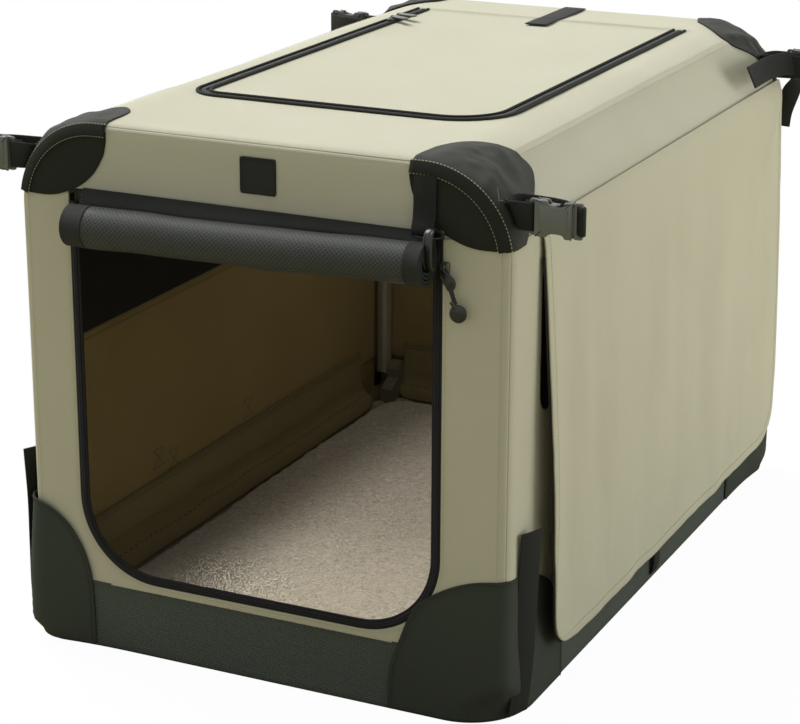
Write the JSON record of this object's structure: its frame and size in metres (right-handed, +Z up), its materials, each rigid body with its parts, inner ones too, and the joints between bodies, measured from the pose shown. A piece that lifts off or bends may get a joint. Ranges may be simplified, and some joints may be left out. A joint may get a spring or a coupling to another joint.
{
  "type": "soft dog crate",
  "caption": "Soft folding dog crate: fabric cover on a jointed tube frame, mesh door rolled up over the doorway, zipped roof opening, side flaps, fleece mat and corner straps with buckles.",
  "frame": {"origin": "on the floor, under the middle of the crate", "axes": "+Z up, +Y from the doorway towards the back, +X to the right seen from the doorway"},
  "size_m": [0.6224, 0.8167, 0.5305],
  "materials": {
    "canvas": "beige woven polyester canvas",
    "patch_cloth": "black coarse woven patch cloth",
    "band_cloth": "dark green woven cloth",
    "floor_cloth": "dark coated cloth",
    "netting": "black mesh cloth",
    "zip_tape": "black zip tape and coil",
    "webbing": "black woven webbing",
    "fleece": "pale fleece",
    "tube_steel": "powder coated steel tube",
    "frame_plastic": "moulded plastic",
    "buckle_plastic": "moulded grey plastic, satin",
    "hook_plastic": "black moulded plastic and cord",
    "zip_metal": "grey metal slider"
  },
  "bodies": {
    "base": {"base_ring": "tube_steel", "bracket_front_right": "frame_plastic", "bracket_front_left": "frame_plastic", "bracket_back_right": "frame_plastic", "bracket_back_left": "frame_plastic", "floor_panel": "floor_cloth", "fleece_mat": "fleece", "base_band": "band_cloth", "corner_front_right": "patch_cloth", "corner_front_left": "patch_cloth", "corner_back_right": "patch_cloth", "corner_back_left": "patch_cloth", "front_wall": "canvas", "back_wall": "canvas", "left_wall": "canvas", "right_wall": "canvas", "left_window_mesh": "netting", "right_window_mesh": "netting", "door_zip": "zip_tape"},
    "front_lower_legs": {"lower_leg_front_right": "tube_steel", "lower_leg_front_left": "tube_steel"},
    "back_lower_legs": {"lower_leg_back_right": "tube_steel", "lower_leg_back_left": "tube_steel"},
    "front_upper_legs": {"upper_leg_front_right": "tube_steel", "upper_leg_front_left": "tube_steel"},
    "back_upper_legs": {"upper_leg_back_right": "tube_steel", "upper_leg_back_left": "tube_steel"},
    "top": {"front_arch": "tube_steel", "back_arch": "tube_steel", "right_rail": "tube_steel", "left_rail": "tube_steel", "roof_cover": "canvas", "roof_zip": "zip_tape", "roof_strap": "webbing", "door_strip": "zip_tape", "cap_front_right": "patch_cloth", "cap_front_left": "patch_cloth", "cap_back_right": "patch_cloth", "cap_back_left": "patch_cloth", "socket_front_right": "buckle_plastic", "socket_front_left": "buckle_plastic", "socket_back_right": "buckle_plastic", "socket_back_left": "buckle_plastic", "loop_front_right": "webbing", "loop_front_left": "webbing", "loop_back_right": "webbing", "loop_back_left": "webbing"},
    "roof_opening_flap": {"roof_flap": "canvas"},
    "right_side_flap": {"right_flap": "canvas"},
    "left_side_flap": {"left_flap": "canvas"},
    "rolled_door": {"door_roll": "netting", "roll_hook": "hook_plastic"},
    "door_zip_slider": {"door_slider": "zip_metal"},
    "door_zip_pull": {"door_pull": "hook_plastic"},
    "front_roof_slider": {"roof_slider_front": "zip_metal"},
    "rear_roof_slider": {"roof_slider_rear": "zip_metal"},
    "front_right_tongue": {"tongue_front_right": "buckle_plastic"},
    "front_left_tongue": {"tongue_front_left": "buckle_plastic"},
    "back_right_tongue": {"tongue_back_right": "buckle_plastic"},
    "back_left_tongue": {"tongue_back_left": "buckle_plastic"}
  },
  "joints": [
    {"name": "fold", "type": "hinge", "parent": "base", "child": "front_lower_legs", "pos_m": [0, -0.372, 0.057], "axis": [-1, 0, 0], "range_deg": [0, 85], "deforming": ["front_wall", "back_wall", "left_wall", "right_wall", "left_window_mesh", "right_window_mesh", "door_zip", "corner_front_right", "corner_front_left", "corner_back_right", "corner_back_left", "right_flap", "left_flap"]},
    {"name": "front_knee", "type": "hinge", "parent": "front_lower_legs", "child": "front_upper_legs", "pos_m": [0, -0.372, 0.2465], "axis": [-1, 0, 0], "range_deg": [-171, 1]},
    {"name": "top_pivot", "type": "hinge", "parent": "front_upper_legs", "child": "top", "pos_m": [0, -0.372, 0.436], "axis": [-1, 0, 0], "range_deg": [-1, 86]},
    {"name": "back_fold", "type": "hinge", "parent": "base", "child": "back_lower_legs", "pos_m": [0, 0.372, 0.057], "axis": [1, 0, 0], "range_deg": [-1, 86]},
    {"name": "back_knee", "type": "hinge", "parent": "back_lower_legs", "child": "back_upper_legs", "pos_m": [0, 0.372, 0.2465], "axis": [1, 0, 0], "range_deg": [-171, 1]},
    {"name": "roof_flap_hinge", "type": "hinge", "parent": "top", "child": "roof_opening_flap", "pos_m": [0, 0.294, 0.525], "axis": [1, 0, 0], "range_deg": [-110, 0]},
    {"name": "right_flap_hinge", "type": "hinge", "parent": "top", "child": "right_side_flap", "pos_m": [0.2495, 0, 0.465], "axis": [0, 1, 0], "range_deg": [-75, 0]},
    {"name": "left_flap_hinge", "type": "hinge", "parent": "top", "child": "left_side_flap", "pos_m": [-0.2495, 0, 0.465], "axis": [0, -1, 0], "range_deg": [-75, 0]},
    {"name": "door_roll_swing", "type": "hinge", "parent": "top", "child": "rolled_door", "pos_m": [0, -0.3905, 0.465], "axis": [1, 0, 0], "range_deg": [-75, 0]},
    {"name": "door_slider_slide", "type": "slide", "parent": "top", "child": "door_zip_slider", "axis": [0, 0, 1], "range_m": [-0.27, 0]},
    {"name": "door_pull_swing", "type": "hinge", "parent": "door_zip_slider", "child": "door_zip_pull", "pos_m": [0.188, -0.3882, 0.4211], "axis": [1, 0, 0], "range_deg": [-90, 0]},
    {"name": "roof_slider_front_slide", "type": "slide", "parent": "top", "child": "front_roof_slider", "axis": [0, 1, 0], "range_m": [-0.38, 0]},
    {"name": "roof_slider_rear_slide", "type": "slide", "parent": "top", "child": "rear_roof_slider", "axis": [0, -1, 0], "range_m": [-0.055, 0]},
    {"name": "tongue_front_right_slide", "type": "slide", "parent": "top", "child": "front_right_tongue", "axis": [-1, 0, 0], "range_m": [-0.035, 0], "deforming": ["loop_front_right"]},
    {"name": "tongue_front_left_slide", "type": "slide", "parent": "top", "child": "front_left_tongue", "axis": [1, 0, 0], "range_m": [-0.035, 0], "deforming": ["loop_front_left"]},
    {"name": "tongue_back_right_slide", "type": "slide", "parent": "top", "child": "back_right_tongue", "axis": [-1, 0, 0], "range_m": [-0.035, 0], "deforming": ["loop_back_right"]},
    {"name": "tongue_back_left_slide", "type": "slide", "parent": "top", "child": "back_left_tongue", "axis": [1, 0, 0], "range_m": [-0.035, 0], "deforming": ["loop_back_left"]}
  ],
  "couplings": [
    {"joint": "front_knee", "follows": "fold", "ratio": -2},
    {"joint": "top_pivot", "follows": "fold", "ratio": 1},
    {"joint": "back_fold", "follows": "fold", "ratio": 1},
    {"joint": "back_knee", "follows": "fold", "ratio": -2}
  ]
}
